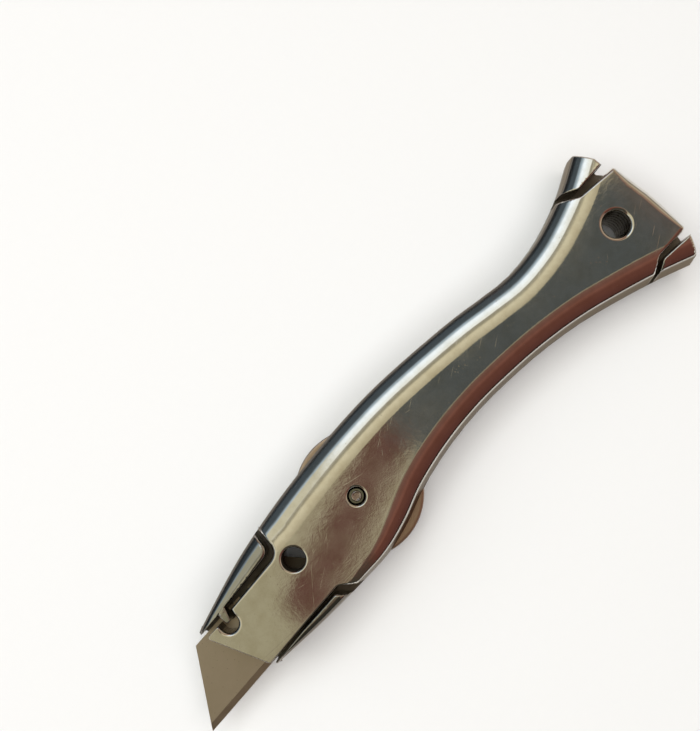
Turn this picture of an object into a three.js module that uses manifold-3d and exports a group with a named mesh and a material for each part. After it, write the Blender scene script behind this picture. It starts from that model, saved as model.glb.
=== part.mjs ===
// Utility knife with a cast metal body in two halves. The lower half carries four corner
// walls that fence the cover in; the cover is held down by a spring on the pivot pin and
// lifts along the pin to let the blades be changed.
//
// Millimetres, +Z up, lying on the lower half's flat face at z = 0. The plan is drawn from a
// point beside the pivot axis, with +X towards the tail hole and +Y towards the knife's back;
// a group at the end moves the whole knife so that the origin is under the middle of its box.
import * as THREE from 'three';
import { mergeVertices } from 'three/addons/utils/BufferGeometryUtils.js';
import Module from 'manifold-3d';

const wasm = await Module();
wasm.setup();

// ---------------------------------------------------------------- driving dimensions
const HEIGHT = 18.5;            // both halves, closed
const PARTING = HEIGHT / 2;     // plane where the halves meet
const GAP = 0.3;                // clearance between neighbouring pieces
const WALL = 2.0;               // side wall of the castings
const PLATE = 2.5;              // flat plate of the castings
const EDGE_IN = 8;              // rounding of the long edges, measured inwards
const EDGE_UP = 6.5;            // the same rounding, measured upwards
const FAR = 40;                 // reach of a cutting outline past the body
const ROUND = 28;               // sides of a round feature

const BLADE = {
  length: 61, width: 19, thickness: 0.65, back: 33,
  bevel: 1.7, edge: 0.08,
  notchWidth: 3.4, notchDepth: 3, notchPitch: 6.2,
};
const WORKING_BLADE = { x: -73.8, y: -18.3, angle: 3.3 };   // sharp corner at the tip, degrees
const SPARE_BLADE = { x: 6.0, y: -5.95, angle: -1.15 };
const SPARES = 5;
const SPARE_FLOOR = 6.4;        // top of the ribs that the spare blades lie on
const STACK_TOP = SPARE_FLOOR + SPARES * (BLADE.thickness + GAP) + GAP;

const GUARD = { x: 1.0, y: -1.35, radius: 18.25 };          // round finger guard
const FRONT_HOLE = { x: -24.1, y: -1.0, radius: 3.3, chamfer: 0.55 };
const TAIL_HOLE = { x: 104.7, y: 0, radius: 3.9, chamfer: 0.85 };
const TAIL_BOSS = 6.0;          // outer radius of the tubes round the tail hole

const PIVOT = { x: 0, y: -1.2 };
const PIN = { radius: 1.15, head: 3.0, headHeight: 0.9, flare: 1.5, flareHeight: 1.1 };
const CUP = { outer: 4.3, bore: 2.5, floor: 0.9, bottom: 2.9, chamfer: 0.45 };
const SPRING = { radius: 1.9, wire: 0.5, turns: 5.5, top: 16.3 };
const RETAINER = { outer: 2.05, hole: 1.3, bottom: 16.5, top: 16.9 };

const NOTCH = { x: -48.4, y: -0.7, radius: 2.6 };           // round notch in the cover's edge

// ---------------------------------------------------------------- materials
const finishes = {
  casting: { color: 0x8f8b80, roughness: 0.16, metalness: 1.0 },
  blade: { color: 0x857a63, roughness: 0.42, metalness: 0.9 },
  pin: { color: 0xb4aaa4, roughness: 0.22, metalness: 1.0 },
  spring: { color: 0x6f7173, roughness: 0.35, metalness: 1.0 },
};

function finish(name) {
  return new THREE.MeshStandardMaterial(finishes[name]);
}

// ---------------------------------------------------------------- solids
function toSolid(geometry) {
  const bare = geometry.clone();
  bare.deleteAttribute('normal');
  bare.deleteAttribute('uv');
  const merged = mergeVertices(bare, 1e-4);
  return new wasm.Manifold(new wasm.Mesh({
    numProp: 3,
    vertProperties: new Float32Array(merged.attributes.position.array),
    triVerts: new Uint32Array(merged.index.array),
  }));
}

function toMesh(name, solid, material) {
  const { vertProperties, triVerts } = solid.getMesh();
  const geometry = new THREE.BufferGeometry();
  geometry.setAttribute('position', new THREE.BufferAttribute(vertProperties, 3));
  geometry.setIndex(new THREE.BufferAttribute(triVerts, 1));
  geometry.computeVertexNormals();
  const mesh = new THREE.Mesh(geometry, material);
  mesh.name = name;
  return mesh;
}

function join(...solids) {
  return solids.reduce((whole, piece) => whole.add(piece));
}

function cut(solid, ...tools) {
  return tools.reduce((rest, tool) => rest.subtract(tool), solid);
}

// A closed outline from corners [x, y, radius]; a radius rounds its corner off.
function outline(corners) {
  const path = new THREE.Shape();
  corners.forEach(([x, y, radius = 0], i) => {
    const here = new THREE.Vector2(x, y);
    const before = new THREE.Vector2(...corners.at(i - 1)).sub(here).normalize();
    const after = new THREE.Vector2(...corners[(i + 1) % corners.length]).sub(here).normalize();
    const halfAngle = Math.acos(before.dot(after)) / 2;
    const reach = radius / Math.tan(halfAngle);
    const start = here.clone().addScaledVector(before, reach);
    if (i === 0) {
      path.moveTo(start.x, start.y);
    } else {
      path.lineTo(start.x, start.y);
    }
    if (radius > 0) {
      const end = here.clone().addScaledVector(after, reach);
      path.quadraticCurveTo(x, y, end.x, end.y);
    }
  });
  path.closePath();
  return path;
}

function prism(shape, bottom, top) {
  const geometry = new THREE.ExtrudeGeometry(shape, {
    depth: top - bottom, bevelEnabled: false, curveSegments: 5,
  });
  geometry.translate(0, 0, bottom);
  return toSolid(geometry);
}

// A prism whose top and bottom edges are rounded inwards; its widest part is the outline.
function roundedPrism(shape, bottom, top, inwards, upwards) {
  const geometry = new THREE.ExtrudeGeometry(shape, {
    depth: top - bottom - 2 * upwards,
    bevelThickness: upwards,
    bevelSize: inwards,
    bevelOffset: -inwards,
    bevelSegments: 4,
  });
  geometry.translate(0, 0, bottom + upwards);
  return toSolid(geometry);
}

function rod(x, y, radius, bottom, top, topRadius = radius) {
  const geometry = new THREE.CylinderGeometry(topRadius, radius, top - bottom, ROUND);
  geometry.rotateX(Math.PI / 2);
  geometry.translate(x, y, (bottom + top) / 2);
  return toSolid(geometry);
}

function box(x0, x1, y0, y1, bottom, top) {
  const geometry = new THREE.BoxGeometry(x1 - x0, y1 - y0, top - bottom);
  geometry.translate((x0 + x1) / 2, (y0 + y1) / 2, (bottom + top) / 2);
  return toSolid(geometry);
}

function turned(profile, x = 0, y = 0) {
  const points = profile.map(([radius, z]) => new THREE.Vector2(radius, z));
  const geometry = new THREE.LatheGeometry(points, ROUND);
  geometry.rotateX(Math.PI / 2);
  geometry.translate(x, y, 0);
  return toSolid(geometry);
}

// ---------------------------------------------------------------- body outline
// The two long sides of the body, each from nose to tail.
const backSide = new THREE.SplineCurve([
  [-57, 3.4], [-37.4, 9.4], [-24, 12.3], [-10.9, 14.3], [5, 15.9], [21, 16.6], [36, 16.0],
  [52.8, 14.5], [63.5, 12.9], [74, 11.6], [84.6, 12.5], [93.5, 14.8], [102.6, 18.2],
  [110.8, 22.4],
].map(([x, y]) => new THREE.Vector2(x, y)));

const edgeSide = new THREE.SplineCurve([
  [-46.6, -18.2], [-30, -19.1], [-14, -19.2], [-4.5, -18.8], [5.1, -16.6], [15.7, -12.9],
  [29, -10.2], [42.2, -9.1], [55, -9.4], [67, -10.4], [80, -12.6], [93, -16.1], [103.7, -19.5],
  [113.3, -23.1],
].map(([x, y]) => new THREE.Vector2(x, y)));

// The body's plan, moved inwards by a distance and carried on straight past both ends.
function bodyPlan(inset) {
  const side = (curve, inwards) => {
    const count = 30;
    const points = [];
    for (let i = 0; i <= count; i += 1) {
      const along = curve.getTangent(i / count);
      const point = curve.getPoint(i / count);
      points.push(point.add(new THREE.Vector2(-along.y, along.x).multiplyScalar(inwards)));
    }
    const first = points[0].clone().addScaledVector(curve.getTangent(0), -15);
    const last = points[count].clone().addScaledVector(curve.getTangent(1), 15);
    return [first, ...points, last];
  };
  return new THREE.Shape([...side(edgeSide, inset), ...side(backSide, -inset).reverse()]);
}

const body = roundedPrism(bodyPlan(0), 0, HEIGHT, EDGE_IN, EDGE_UP);
// The middle of the castings' thickness, where ribs end inside the walls.
const core = roundedPrism(
  bodyPlan(WALL / 2), PLATE / 2, HEIGHT - PLATE / 2, EDGE_IN - WALL / 2, EDGE_UP - 1,
);
const hollow = roundedPrism(bodyPlan(WALL), PLATE, HEIGHT - PLATE, EDGE_IN - WALL, EDGE_UP - 1.5);

// ---------------------------------------------------------------- plan outlines
const NOSE_TOP = [-55.5, 0.7];
const NOSE_BOTTOM = [-48.0, -16.1];
const TAIL_EDGE = [[118.0, -6, 0], [117.8, 0, 0], [117.1, 6, 0]];
const FIN_BACK_END = [[114.2, 17.2, 0], [111.1, 23.1, 1.7]];
const FIN_EDGE_END = [[113.6, -23.7, 1.6], [115.6, -20.2, 0]];

// The cover, seen from above: its nose, the slots along the corner walls, and its tail.
const coverPlan = outline([
  [...NOSE_TOP, 1.0],
  [...NOSE_BOTTOM, 0.6],
  [-20.6, -14.4, 3.0], [-12.5, -21.2, 0],
  [-5, -FAR, 0], [90, -FAR, 0], [95.2, -22.6, 0],
  [106.6, -14.65, 3.5], [117.4, -14.65, 1.2],
  ...TAIL_EDGE,
  [116.1, 11.9, 1.0], [103.4, 12.45, 3.0], [97.0, 16.9, 0],
  [90, FAR, 0], [-15, FAR, 0], [-25.3, 20, 0],
  [-25.9, 3.5, 4.0], [-45.6, 1.55, 0], [-51, 0.95, 0],
]);

const baseNose = [
  [-56.0, 2.4, 0.5], [...NOSE_TOP, 0], [...NOSE_BOTTOM, 0], [-46.9, -17.0, 0],
];
const basePlan = outline([
  ...baseNose,
  [-46.9, -24, 0], [99, -24, 0],
  ...FIN_EDGE_END,
  [117.3, -16, 0], [117.5, -14, 0],
  ...TAIL_EDGE,
  [116.1, 11.9, 0], [114.3, 14, 0],
  ...FIN_BACK_END,
  [98, 20, 0], [-56.0, 20, 0],
]);

// The four corner walls fence the cover in. Each area runs out past the base, which trims it.
const cornerWalls = [
  outline([
    [-60, 2.4, 0], [-46.4, 2.95, 0], [-46.0, 3.4, 0], [-36, 4.3, 0],
    [-27.3, 5.15, 3.5], [-26.6, 24, 0], [-60, 24, 0],
  ]),
  outline([
    [-50, -28, 0], [-11, -28, 0], [-22.9, -15.6, 1.4], [-36, -16.25, 0], [-50, -17.45, 0],
  ]),
  outline([
    [104.8, 14.3, 2.5], [120, 15.2, 0], [120, 28, 0], [97, 28, 0], [95, 20.7, 0],
  ]),
  outline([
    [106.8, -16.1, 2.5], [94, -25, 0], [95, -29, 0], [120, -29, 0], [120, -16.75, 0],
  ]),
];

// The catch is a rib down from the back wall of the nose, hooked through the blade's notch.
const catchPlan = outline([
  [-48.9, 3.2, 0], [-48.9, -0.45, 0.7], [-47.6, -0.45, 0.5], [-46.9, 1.5, 0], [-46.2, 3.7, 0],
]);

// What may be hollowed out of the handle: all of it but the ends' rims.
const handlePlan = outline([
  [-9, -FAR, 0], [90, -FAR, 0], [97, -19.8, 0], [107.2, -12.5, 2], [115.3, -12.5, 1],
  [115.9, -6, 0], [115.7, 0, 0], [115.0, 6, 0],
  [114.2, 9.8, 1], [102.6, 10.4, 2], [95, 15.7, 0], [90, FAR, 0], [-9, FAR, 0],
]);

// Pockets that thin the nose between its ribs: centre x, centre y, width, height.
const nosePockets = [[-43, -7.5, 7, 11], [-33.5, -6.5, 7, 13], [-15.2, -3.5, 5, 17]];

// ---------------------------------------------------------------- blades
function bladePlan(grow) {
  const { length, width, back, notchWidth, notchDepth, notchPitch } = BLADE;
  const slant = (length - back) / 2;
  const corners = [
    [-grow, -grow, 0], [length + grow, -grow, 0],
    [length - slant + grow, width + grow, 0], [slant - grow, width + grow, 0],
  ];
  if (grow > 0) {
    return outline(corners);
  }
  const notch = (middle) => [
    [middle + notchWidth / 2, width, 0], [middle + notchWidth / 2, width - notchDepth, 1.2],
    [middle - notchWidth / 2, width - notchDepth, 1.2], [middle - notchWidth / 2, width, 0],
  ];
  const middle = length / 2;
  corners.splice(3, 0, ...notch(middle + notchPitch / 2), ...notch(middle - notchPitch / 2));
  return outline(corners);
}

function placeBlade(solid, place, bottom) {
  return solid.rotate([0, 0, place.angle]).translate([place.x, place.y, bottom]);
}

function makeBlade() {
  const { length, width, thickness, bevel, edge } = BLADE;
  const flat = prism(bladePlan(0), 0, thickness);
  const middle = thickness / 2;
  const section = new THREE.Shape([
    new THREE.Vector2(-1, middle - edge / 2),
    new THREE.Vector2(0, middle - edge / 2),
    new THREE.Vector2(bevel, 0),
    new THREE.Vector2(width + 1, 0),
    new THREE.Vector2(width + 1, thickness),
    new THREE.Vector2(bevel, thickness),
    new THREE.Vector2(0, middle + edge / 2),
    new THREE.Vector2(-1, middle + edge / 2),
  ]);
  const ground = new THREE.ExtrudeGeometry(section, { depth: length + 2, bevelEnabled: false });
  ground.applyMatrix4(new THREE.Matrix4().makeBasis(
    new THREE.Vector3(0, 1, 0), new THREE.Vector3(0, 0, 1), new THREE.Vector3(1, 0, 0),
  ));
  ground.translate(-1, 0, 0);
  return flat.intersect(toSolid(ground));
}

// ---------------------------------------------------------------- castings
const lowerTop = PARTING - GAP / 2;
const upperBottom = PARTING + GAP / 2;
const bladeBottom = PARTING - BLADE.thickness / 2;
const bladeRoom = placeBlade(
  prism(bladePlan(GAP), -GAP, BLADE.thickness + GAP), WORKING_BLADE, bladeBottom,
);
const past = 1;                 // how far a cutting tool runs past the faces it cuts

function throughHole({ x, y, radius, chamfer }) {
  return join(
    rod(x, y, radius, -past, HEIGHT + past),
    rod(x, y, radius, HEIGHT - chamfer, HEIGHT + past, radius + chamfer + past),
    rod(x, y, radius + chamfer + past, -past, chamfer, radius),
  );
}

function pockets(bottom, top) {
  return nosePockets.map(([x, y, width, height]) => prism(outline([
    [x - width / 2, y - height / 2, 1.5], [x + width / 2, y - height / 2, 1.5],
    [x + width / 2, y + height / 2, 1.5], [x - width / 2, y + height / 2, 1.5],
  ]), bottom, top));
}

function guardDisc() {
  const { x, y, radius } = GUARD;
  const corner = 2.6;
  const profile = [[0, 2.2], [radius - corner, 2.2]];
  for (let i = 1; i <= 4; i += 1) {
    const turn = (i / 4) * (Math.PI / 2);
    profile.push([radius - corner + corner * Math.sin(turn), 2.2 + corner * (1 - Math.cos(turn))]);
  }
  profile.push([radius, lowerTop - 0.4], [radius - 0.4, lowerTop], [0, lowerTop]);
  return turned(profile, x, y);
}

function makeLowerShell() {
  const base = body.intersect(prism(basePlan, -past, HEIGHT + past));
  const walls = cornerWalls.map((plan) => prism(plan, 1, HEIGHT + past));
  const floor = box(-2 * FAR, 4 * FAR, -FAR, FAR, -past, lowerTop);
  const outside = base.intersect(join(floor, ...walls)).add(guardDisc());
  const trough = hollow.intersect(prism(handlePlan, PLATE - past, lowerTop + past));
  const ribs = [16, 34, 52].map((x) => box(x, x + 1.6, -FAR, FAR, 0, SPARE_FLOOR));
  const shell = cut(outside, trough, bladeRoom, ...pockets(PLATE, bladeBottom));
  const tube = rod(TAIL_HOLE.x, TAIL_HOLE.y, TAIL_BOSS, 1, lowerTop);
  const ribbed = shell.add(core.intersect(join(...ribs)));
  const pivotHole = PIN.radius + GAP;
  return cut(
    join(ribbed, tube, prism(catchPlan, 1, HEIGHT), ...sparePegs()),
    throughHole(FRONT_HOLE),
    throughHole(TAIL_HOLE),
    rod(PIVOT.x, PIVOT.y, pivotHole, -past, PLATE + past),
    rod(PIVOT.x, PIVOT.y, PIN.head + GAP, -past, 0.25 + PIN.headHeight + GAP),
  );
}

// Two pegs stand in the notches of the spare blades and keep the stack square.
function sparePegs() {
  const angle = THREE.MathUtils.degToRad(SPARE_BLADE.angle);
  return [-0.5, 0.5].map((side) => {
    const along = BLADE.length / 2 + side * BLADE.notchPitch;
    const across = BLADE.width - 1.2;
    const x = SPARE_BLADE.x + along * Math.cos(angle) - across * Math.sin(angle);
    const y = SPARE_BLADE.y + along * Math.sin(angle) + across * Math.cos(angle);
    return rod(x, y, 1.1, PLATE + 0.6, STACK_TOP, 0.9);
  });
}

function makeUpperShell() {
  const region = prism(coverPlan, upperBottom, HEIGHT + past);
  const notch = join(
    rod(NOTCH.x, NOTCH.y, NOTCH.radius, 0, HEIGHT + past),
    box(NOTCH.x - NOTCH.radius, NOTCH.x + NOTCH.radius, NOTCH.y, NOTCH.y + 4, 0, HEIGHT + past),
  );
  const ceiling = hollow.intersect(prism(handlePlan, 0, HEIGHT));
  const shell = cut(
    body.intersect(region), notch, ceiling, bladeRoom,
    ...pockets(bladeBottom, HEIGHT - PLATE),
  );
  const keepers = [25, 43].map((along) => (
    box(along, along + 1.6, -FAR, FAR, STACK_TOP, HEIGHT)
  ));
  const ribs = core.intersect(join(...keepers));
  const tube = rod(TAIL_HOLE.x, TAIL_HOLE.y, TAIL_BOSS, upperBottom, HEIGHT - past);
  const { x, y } = PIVOT;
  const cup = rod(x, y, CUP.outer, CUP.bottom, HEIGHT - past);
  return cut(
    join(shell, ribs, tube, cup),
    throughHole(FRONT_HOLE),
    throughHole(TAIL_HOLE),
    rod(x, y, CUP.bore, CUP.bottom + CUP.floor, HEIGHT + past),
    rod(x, y, CUP.bore, HEIGHT - CUP.chamfer, HEIGHT + past, CUP.bore + CUP.chamfer + past),
    rod(x, y, PIN.radius + GAP, CUP.bottom - past, CUP.bottom + past),
  );
}

// ---------------------------------------------------------------- pivot
function makePin() {
  const bottom = 0.25;
  const shoulder = RETAINER.top + 0.15;
  const end = shoulder + PIN.flareHeight;
  const bore = 0.8;
  return turned([
    [0, bottom], [PIN.head - 0.3, bottom], [PIN.head, bottom + 0.3],
    [PIN.head, bottom + PIN.headHeight], [PIN.radius, bottom + PIN.headHeight],
    [PIN.radius, shoulder], [PIN.flare, shoulder + 0.2], [PIN.flare, end - 0.25],
    [PIN.flare - 0.25, end], [bore, end], [bore, end - 0.7], [0, end - 0.9],
  ]);
}

function makeRetainer() {
  const { outer, hole, bottom, top } = RETAINER;
  return turned([[hole, bottom], [outer, bottom], [outer, top], [hole, top], [hole, bottom]]);
}

class Coil extends THREE.Curve {
  constructor(radius, turns, bottom, top) {
    super();
    Object.assign(this, { radius, turns, bottom, top });
  }

  getPoint(t, target = new THREE.Vector3()) {
    const angle = t * this.turns * 2 * Math.PI;
    const height = THREE.MathUtils.lerp(this.bottom, this.top, t);
    return target.set(this.radius * Math.cos(angle), this.radius * Math.sin(angle), height);
  }
}

function makeSpring() {
  const half = SPRING.wire / 2;
  const bottom = CUP.bottom + CUP.floor + GAP + half;
  const coil = new Coil(SPRING.radius, SPRING.turns, bottom, SPRING.top - half);
  const sides = 6;
  const section = new THREE.Shape();
  for (let i = 0; i < sides; i += 1) {
    const angle = (i / sides) * 2 * Math.PI;
    const [x, y] = [half * Math.cos(angle), half * Math.sin(angle)];
    if (i === 0) {
      section.moveTo(x, y);
    } else {
      section.lineTo(x, y);
    }
  }
  section.closePath();
  const wire = new THREE.ExtrudeGeometry(section, {
    steps: Math.round(SPRING.turns * 14), extrudePath: coil,
  });
  return toSolid(wire);
}

// ---------------------------------------------------------------- assembly
const knife = new THREE.Group();
knife.add(toMesh('lower_shell', makeLowerShell(), finish('casting')));
knife.add(toMesh('upper_shell', makeUpperShell(), finish('casting')));

const pivot = new THREE.Group();
pivot.position.set(PIVOT.x, PIVOT.y, 0);
pivot.add(toMesh('pivot_pin', makePin(), finish('pin')));
pivot.add(toMesh('pivot_spring', makeSpring(), finish('spring')));
pivot.add(toMesh('spring_retainer', makeRetainer(), finish('pin')));
knife.add(pivot);

const blade = makeBlade();
knife.add(toMesh('working_blade', placeBlade(blade, WORKING_BLADE, bladeBottom), finish('blade')));
for (let i = 0; i < SPARES; i += 1) {
  const bottom = SPARE_FLOOR + GAP + i * (BLADE.thickness + GAP);
  knife.add(toMesh(`spare_blade_${i + 1}`, placeBlade(blade, SPARE_BLADE, bottom), finish('blade')));
}

const bounds = new THREE.Box3().setFromObject(knife, true);
const centre = bounds.getCenter(new THREE.Vector3());
knife.position.set(-centre.x, -centre.y, 0);

const model = new THREE.Group();
model.add(knife);
export default model;
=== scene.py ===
"""Looks of the utility knife: smooth castings, rivet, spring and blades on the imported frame."""

import math

import bpy
import numpy as np
from mathutils import Matrix, Vector
from mathutils.geometry import delaunay_2d_cdt

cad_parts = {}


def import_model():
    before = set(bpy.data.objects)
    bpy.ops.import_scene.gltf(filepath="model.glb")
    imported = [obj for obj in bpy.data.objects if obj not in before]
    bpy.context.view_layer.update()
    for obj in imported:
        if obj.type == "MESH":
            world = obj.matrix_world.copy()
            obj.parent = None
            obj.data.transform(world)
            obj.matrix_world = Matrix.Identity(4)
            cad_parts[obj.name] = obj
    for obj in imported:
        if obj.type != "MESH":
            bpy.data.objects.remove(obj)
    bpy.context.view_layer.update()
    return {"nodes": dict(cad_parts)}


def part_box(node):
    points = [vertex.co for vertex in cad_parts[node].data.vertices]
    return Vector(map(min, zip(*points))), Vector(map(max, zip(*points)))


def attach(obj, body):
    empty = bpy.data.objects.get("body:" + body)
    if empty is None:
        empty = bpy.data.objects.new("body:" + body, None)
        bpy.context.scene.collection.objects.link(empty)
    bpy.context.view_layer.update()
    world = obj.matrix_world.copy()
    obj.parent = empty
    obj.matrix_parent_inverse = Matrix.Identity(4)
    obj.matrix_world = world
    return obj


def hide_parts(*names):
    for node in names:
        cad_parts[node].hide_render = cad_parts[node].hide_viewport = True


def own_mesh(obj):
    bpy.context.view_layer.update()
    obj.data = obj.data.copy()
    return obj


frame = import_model()

# ---------------- sizes
# Millimetres. The plan is drawn from a point beside the pivot axis, with +X to the tail and
# +Y to the back.
MM = 0.001
PIVOT = (0.0, -1.2)
PIN_BOX = [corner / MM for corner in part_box("pivot_pin")]
ORIGIN = (PIN_BOX[0] + PIN_BOX[1]) / 2 - Vector((*PIVOT, 0))
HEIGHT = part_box("lower_shell")[1].z / MM
PARTING = HEIGHT / 2
GAP = 0.3                       # clearance between neighbouring pieces
BASE_TOP = PARTING - GAP / 2
COVER_BOTTOM = PARTING + GAP / 2
BLADE_BOX = [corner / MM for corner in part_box("working_blade")]
BLADE_BED = BLADE_BOX[0].z - GAP
BLADE_ROOF = BLADE_BOX[1].z + GAP
FAR = 28                        # reach of a cutting outline past the body
BLADE_TILT = 0.058              # how far the blade leans in the plan, in radians

FRONT_HOLE = (-24.1, -1.0, 3.3, 0.6)        # x, y, radius, rounding of its mouth
TAIL_HOLE = (104.7, 0.0, 3.9, 0.95)
CUP_BORE = (*PIVOT, 2.5, 0.6)
CUP_FLOOR = 3.8
PIN_RECESS = (*PIVOT, 3.3, 0.2)
PIN_RECESS_ROOF = 1.45
TOOL_RINGS = 0.2                            # depth of the rings left in the tail hole
GUARD = (1.0, -1.35, 18.25)                 # x, y, radius
NOTCH = (-48.4, -0.7, 2.6, 0.9)
NOTCH_MOUTH = 4                             # how far the notch is carried on to the back

# Limits for telling faces, edges and points apart.
PROBE = 0.02                    # how far to each side of an edge the plan is tried
ON_CIRCLE = 0.05                # an edge this near a hole's circle belongs to the hole
REDRAWN = 0.12                  # an upright CAD face this near a drawn edge is left out
UPRIGHT = 0.05                  # a face whose normal rises less than this is upright
SMOOTH = 0.8                    # cosine above which neighbouring walls share a normal
SHARP = math.radians(32)
UNMEASURED = 9.0                # wear and depth where neither is measured

# The view of the knife, over the same plan.
CAMERA_PLACE = (7.125, 2.434, 295.776)
CAMERA_AIM = (24.254, 25.135, HEIGHT)
CAMERA_LEAN = math.radians(44.6)            # from +X to the way that is up in the view
CAMERA_LENS = 49.74

# The long sides of the body in plan, from nose to tail.
BACK_SIDE = [
    (-57, 3.4), (-37.4, 9.4), (-24, 12.3), (-10.9, 14.3), (5, 15.9), (21, 16.6), (36, 16.0),
    (52.8, 14.5), (63.5, 12.9), (74, 11.6), (84.6, 12.5), (93.5, 14.8), (102.6, 18.2),
    (110.8, 22.4),
]
EDGE_SIDE = [
    (-46.6, -18.2), (-30, -19.1), (-14, -19.2), (-4.5, -18.8), (5.1, -16.6), (15.7, -12.9),
    (29, -10.2), (42.2, -9.1), (55, -9.4), (67, -10.4), (80, -12.6), (93, -16.1),
    (103.7, -19.5), (113.3, -23.1),
]
SIDE_STEPS = 200

# How a long side rises to the flat: a drafted strip, a tight round, a flank that eases off,
# and a last slope past the crease.
ROUND = 1.7                     # radius of the tight round
ROUND_RUN = 0.5                 # how far inwards it runs
FALL = 1.737                    # how fast the flank eases off
LAST_SLOPE = 0.158
# Widths as (x along the knife, width) pairs; the edge side's flank dies out towards the nose.
FLANKS = {
    "back": {
        "strip": [(0, 0.3)],
        "flank": [(-50, 1.6), (-36, 3.2), (-27, 3.9), (-20, 4.9)],
        "last": [(-50, 1.0), (-36, 2.0), (-24, 4.0)],
    },
    "edge": {
        "strip": [(-46, 0.7), (-24, 0.9), (-12, 1.15), (26, 1.2)],
        "flank": [(-46, 0.4), (-22, 0.6), (-12, 1.4), (4, 3.1), (20, 3.5)],
        "last": [(-46, 0.5), (-20, 0.7), (8, 2.3)],
    },
}

# Outlines: x, y, corner radius, rounding of the top edge.
NOSE_TOP = (-55.5, 0.7)
NOSE_BOTTOM = (-48.0, -16.1)
TAIL_EDGE = [(118.0, -6), (117.8, 0), (117.1, 6)]
COVER = [
    (*NOSE_TOP, 1.0, 0.2), (*NOSE_BOTTOM, 0.6, 0.2),
    (-20.6, -14.4, 3.0, 0.4), (-12.5, -21.2, 0, 0.7),
    (-5, -FAR, 0, 0.7), (90, -FAR, 0, 0.6), (95.2, -22.6, 0, 0.6),
    (106.6, -14.65, 3.5, 0.6), (117.4, -14.65, 1.2, 1.2),
    *[(x, y, 0, 2.4) for x, y in TAIL_EDGE],
    (116.1, 11.9, 1.0, 1.2), (103.4, 12.45, 3.0, 0.45), (97.0, 16.9, 0, 0.45),
    (90, FAR, 0, 0.5), (-15, FAR, 0, 1.0), (-25.3, 20, 0, 1.3),
    (-25.9, 3.5, 4.0, 1.0), (-45.6, 1.55, 0, 0.5), (-51, 0.95, 0, 0.3),
]
BASE = [
    (-56.0, 2.4, 0.5, 0.4), (*NOSE_TOP, 0, 0.3), (*NOSE_BOTTOM, 0, 0.3), (-46.9, -17.0, 0, 0.4),
    (-46.9, -24, 0, 0.4), (99, -24, 0, 0.5),
    (113.6, -23.7, 1.6, 0.5), (115.6, -20.2, 0, 0.6), (117.3, -16, 0, 0.6),
    (117.5, -14, 0, 0.9), *[(x, y, 0, 0.9) for x, y in TAIL_EDGE],
    (116.1, 11.9, 0, 0.9), (114.3, 14, 0, 0.6),
    (114.2, 17.2, 0, 0.6), (111.1, 23.1, 1.7, 0.5), (98, 20, 0, 0.5), (-56.0, 20, 0, 0.4),
]
CORNER_WALLS = [
    [   # back of the nose, with the catch that hooks through the blade's notch
        (-60, 2.4, 0, 0.2), (-48.9, 2.85, 0, 0.3), (-48.9, -0.45, 0.7, 0.3),
        (-47.6, -0.45, 0.5, 0.3), (-46.9, 1.5, 0, 0.3), (-46.2, 3.3, 0, 0.3),
        (-36, 4.3, 0, 0.4), (-27.3, 5.15, 3.5, 0.9), (-26.6, 24, 0, 0.9), (-60, 24, 0, 0.3),
    ],
    [
        (-50, -28, 0, 0.3), (-11, -28, 0, 0.5), (-22.9, -15.6, 1.4, 0.5),
        (-36, -16.25, 0, 0.35), (-50, -17.45, 0, 0.3),
    ],
    [
        (104.8, 14.3, 2.5, 0.4), (120, 15.2, 0, 0.4), (120, 28, 0, 0.4), (97, 28, 0, 0.4),
        (95, 20.7, 0, 0.4),
    ],
    [
        (106.8, -16.1, 2.5, 0.5), (94, -25, 0, 0.5), (95, -29, 0, 0.5), (120, -29, 0, 0.5),
        (120, -16.75, 0, 0.5),
    ],
]


# ---------------- plan geometry
def spline(points, count):
    """Uniform Catmull-Rom curve through the points."""
    p = np.array(points, float)
    place = np.linspace(0, len(p) - 1, count)
    i = np.minimum(place.astype(int), len(p) - 2)
    t = (place - i)[:, None]
    before, here, after = p[np.maximum(i - 1, 0)], p[i], p[i + 1]
    beyond = p[np.minimum(i + 2, len(p) - 1)]
    v0, v1 = (after - before) / 2, (beyond - here) / 2
    cubic = (2 * here - 2 * after + v0 + v1) * t**3
    return cubic + (3 * after - 3 * here - 2 * v0 - v1) * t**2 + v0 * t + here


def unit(vectors):
    """The vectors at length 1."""
    length = np.linalg.norm(vectors, axis=-1, keepdims=True)
    return vectors / np.maximum(length, 1e-9)


class Side:
    """A long side of the body, carried on straight past both ends."""

    def __init__(self, points, inwards, flank, run_out_length=15):
        line = spline(points, SIDE_STEPS)
        run_out = np.arange(1, run_out_length + 1)[:, None]
        before = line[0] + unit(line[0] - line[1]) * run_out[::-1]
        after = line[-1] + unit(line[-1] - line[-2]) * run_out
        self.line = np.concatenate([before, line, after])
        tangent = unit(np.gradient(self.line, axis=0))
        self.normal = inwards * np.stack([-tangent[:, 1], tangent[:, 0]], 1)
        self.flank = flank

    def depth(self, points):
        """How far inside the side each point is, and the direction inwards there."""
        index, share, _ = nearest(self.line[:-1], self.line[1:], points)
        foot = mix(self.line[index], self.line[index + 1], share)
        inwards = unit(mix(self.normal[index], self.normal[index + 1], share))
        return ((points - foot) * inwards).sum(1), inwards

    def widths(self, x):
        """Widths of the strip, the flank and the last slope at places along the knife."""
        return [np.interp(x, *zip(*self.flank[key])) for key in ("strip", "flank", "last")]

    def offset(self, distance):
        """The side moved inwards by a distance at each of its points."""
        return self.line + self.normal * distance[:, None]


def mix(a, b, share):
    """Points part of the way from a to b."""
    return a + (b - a) * share[:, None]


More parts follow.
